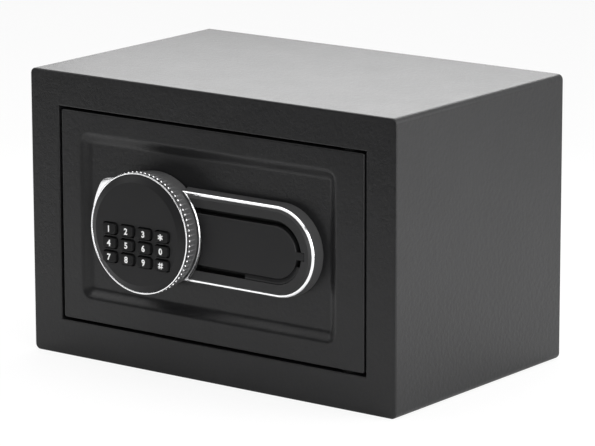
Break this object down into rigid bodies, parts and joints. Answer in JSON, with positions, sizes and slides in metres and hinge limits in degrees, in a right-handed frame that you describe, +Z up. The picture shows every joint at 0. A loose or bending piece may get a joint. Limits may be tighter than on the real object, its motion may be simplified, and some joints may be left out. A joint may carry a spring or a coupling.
{
  "type": "electronic safe",
  "caption": "Small box-shaped home safe with a folded sheet body, a recessed hinged door, a keypad on a turning dial that drives locking bolts, and a keyway under a loose cover.",
  "frame": {"origin": "centre of the cabinet's underside, midway between the sides and midway between the front frame's face and the back sheet", "axes": "+X to the right as seen from the front, towards the hinge; +Y from the door to the back; +Z up"},
  "size_m": [0.31, 0.2172, 0.2],
  "materials": {
    "charcoal_paint": "fine-textured satin powder coat",
    "zinc_steel": "zinc plated",
    "bolt_steel": "ground",
    "chrome": "polished",
    "brass": "machined",
    "black_plastic": "satin moulded",
    "black_gloss": "smooth",
    "key_plastic": "smooth rubbery, printed in white",
    "red_plastic": "smooth",
    "green_board": "glass-fibre board",
    "copper_winding": "enamelled wire",
    "cell_wrap": "printed sleeve",
    "grey_felt": "needled felt"
  },
  "bodies": {
    "cabinet": {"cabinet_wrap": "charcoal_paint", "front_frame": "charcoal_paint", "back_panel": "charcoal_paint", "door_stops": "charcoal_paint", "hinge_pin_upper": "zinc_steel", "hinge_pin_lower": "zinc_steel", "floor_mat": "grey_felt"},
    "door": {"door_panel": "charcoal_paint", "lock_plate": "zinc_steel", "hinge_bush_upper": "black_plastic", "hinge_bush_lower": "black_plastic", "hinge_brackets": "zinc_steel", "escutcheon": "black_plastic", "escutcheon_bezel": "chrome", "spindle_bush": "brass", "bolt_guide": "zinc_steel", "guide_studs": "zinc_steel", "solenoid_frame": "zinc_steel", "solenoid_coil": "copper_winding", "plunger_spring": "zinc_steel", "override_barrel": "zinc_steel", "override_nut": "zinc_steel", "control_board": "green_board", "board_standoffs": "brass", "buzzer": "black_gloss", "inner_cover": "charcoal_paint", "cover_posts": "zinc_steel", "battery_holder": "black_plastic", "battery_cells": "cell_wrap", "battery_contacts": "zinc_steel", "switch_housing": "black_plastic"},
    "dial": {"dial_body": "black_plastic", "dial_ring": "chrome", "keypad_face": "black_gloss", "keypad_board": "green_board", "dome_switches": "zinc_steel", "dial_spindle": "zinc_steel", "spindle_clip": "zinc_steel", "pinion": "brass"},
    "bolt_work": {"bolt_carrier": "zinc_steel", "bolt_lower": "bolt_steel", "bolt_upper": "bolt_steel"},
    "plunger": {"solenoid_plunger": "bolt_steel"},
    "loose_cover": {"keyway_cover": "black_gloss"},
    "override": {"override_plug": "brass", "override_cam": "zinc_steel"},
    "battery_cover": {"battery_lid": "black_plastic"},
    "reset": {"reset_button": "red_plastic"},
    "key_1": {"key_1": "key_plastic"},
    "key_2": {"key_2": "key_plastic"},
    "key_3": {"key_3": "key_plastic"},
    "key_star": {"key_star": "key_plastic"},
    "key_4": {"key_4": "key_plastic"},
    "key_5": {"key_5": "key_plastic"},
    "key_6": {"key_6": "key_plastic"},
    "key_0": {"key_0": "key_plastic"},
    "key_7": {"key_7": "key_plastic"},
    "key_8": {"key_8": "key_plastic"},
    "key_9": {"key_9": "key_plastic"},
    "key_hash": {"key_hash": "key_plastic"}
  },
  "joints": [
    {"name": "door_hinge", "type": "hinge", "parent": "cabinet", "child": "door", "pos_m": [0.114, -0.0901, 0.1005], "axis": [0, 0, 1], "range_deg": [0, 100]},
    {"name": "dial_turn", "type": "hinge", "parent": "door", "child": "dial", "pos_m": [-0.0456, -0.0931, 0.1005], "axis": [0, 1, 0], "range_deg": [0, 72]},
    {"name": "bolt_throw", "type": "slide", "parent": "door", "child": "bolt_work", "axis": [-1, 0, 0], "range_m": [0, 0.0132]},
    {"name": "plunger_drop", "type": "slide", "parent": "door", "child": "plunger", "axis": [0, 0, -1], "range_m": [0, 0.0048], "deforming": ["plunger_spring"]},
    {"name": "loose_cover_pull", "type": "slide", "parent": "door", "child": "loose_cover", "axis": [0, -1, 0], "range_m": [0, 0.012]},
    {"name": "override_turn", "type": "hinge", "parent": "door", "child": "override", "pos_m": [0.028, -0.0931, 0.1005], "axis": [0, -1, 0], "range_deg": [0, 90]},
    {"name": "battery_lid_pull", "type": "slide", "parent": "door", "child": "battery_cover", "axis": [0, 1, 0], "range_m": [0, 0.015]},
    {"name": "reset_press", "type": "slide", "parent": "door", "child": "reset", "axis": [0, -1, 0], "range_m": [0, 0.0012], "stiffness_N_per_m": 400},
    {"name": "key_1_press", "type": "slide", "parent": "dial", "child": "key_1", "axis": [0, 1, 0], "range_m": [0, 0.0008], "stiffness_N_per_m": 400},
    {"name": "key_2_press", "type": "slide", "parent": "dial", "child": "key_2", "axis": [0, 1, 0], "range_m": [0, 0.0008], "stiffness_N_per_m": 400},
    {"name": "key_3_press", "type": "slide", "parent": "dial", "child": "key_3", "axis": [0, 1, 0], "range_m": [0, 0.0008], "stiffness_N_per_m": 400},
    {"name": "key_star_press", "type": "slide", "parent": "dial", "child": "key_star", "axis": [0, 1, 0], "range_m": [0, 0.0008], "stiffness_N_per_m": 400},
    {"name": "key_4_press", "type": "slide", "parent": "dial", "child": "key_4", "axis": [0, 1, 0], "range_m": [0, 0.0008], "stiffness_N_per_m": 400},
    {"name": "key_5_press", "type": "slide", "parent": "dial", "child": "key_5", "axis": [0, 1, 0], "range_m": [0, 0.0008], "stiffness_N_per_m": 400},
    {"name": "key_6_press", "type": "slide", "parent": "dial", "child": "key_6", "axis": [0, 1, 0], "range_m": [0, 0.0008], "stiffness_N_per_m": 400},
    {"name": "key_0_press", "type": "slide", "parent": "dial", "child": "key_0", "axis": [0, 1, 0], "range_m": [0, 0.0008], "stiffness_N_per_m": 400},
    {"name": "key_7_press", "type": "slide", "parent": "dial", "child": "key_7", "axis": [0, 1, 0], "range_m": [0, 0.0008], "stiffness_N_per_m": 400},
    {"name": "key_8_press", "type": "slide", "parent": "dial", "child": "key_8", "axis": [0, 1, 0], "range_m": [0, 0.0008], "stiffness_N_per_m": 400},
    {"name": "key_9_press", "type": "slide", "parent": "dial", "child": "key_9", "axis": [0, 1, 0], "range_m": [0, 0.0008], "stiffness_N_per_m": 400},
    {"name": "key_hash_press", "type": "slide", "parent": "dial", "child": "key_hash", "axis": [0, 1, 0], "range_m": [0, 0.0008], "stiffness_N_per_m": 400}
  ],
  "couplings": [
    {"joint": "bolt_throw", "follows": "dial_turn", "m_per_rad": 0.0105}
  ]
}
